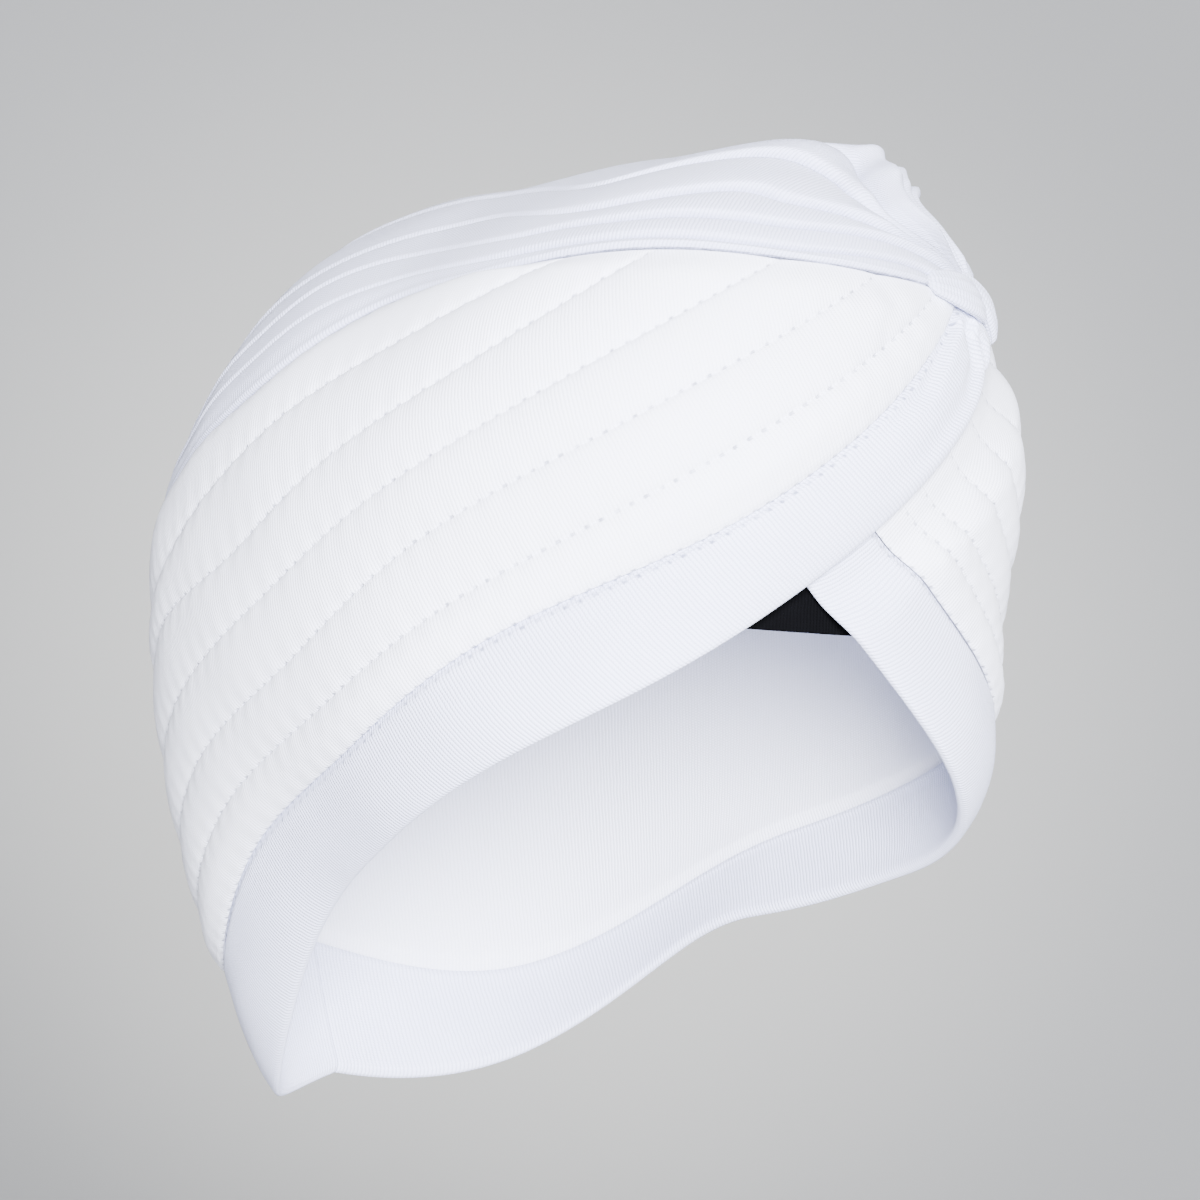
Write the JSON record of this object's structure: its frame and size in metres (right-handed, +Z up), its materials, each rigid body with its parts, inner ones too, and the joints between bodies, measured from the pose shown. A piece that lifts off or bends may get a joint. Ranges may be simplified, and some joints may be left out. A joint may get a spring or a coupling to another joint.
{
  "type": "ready tied turban cap",
  "caption": "Pull-on turban cap of quilted white jersey: two padded side panels crossed at the brow, hem bands, a pleated crown strip, a small knot wrap and a dark inner brow band.",
  "frame": {"origin": "the middle of the head that wears it, level with the place where the two sides cross at the brow", "axes": "+Z up through the crown of the head, -Y the way the wearer looks, +X the wearer's left"},
  "size_m": [0.1554, 0.1991, 0.2042],
  "materials": {
    "white_jersey": "matt fine knit cotton jersey, white with a cool tint",
    "black_jersey": "matt fine knit cotton jersey, black"
  },
  "bodies": {
    "root": {"right_panel": "white_jersey", "left_panel": "white_jersey", "right_hem_band": "white_jersey", "left_hem_band": "white_jersey", "crown_strip": "white_jersey", "knot_wrap": "white_jersey", "brow_band": "black_jersey"}
  },
  "joints": []
}
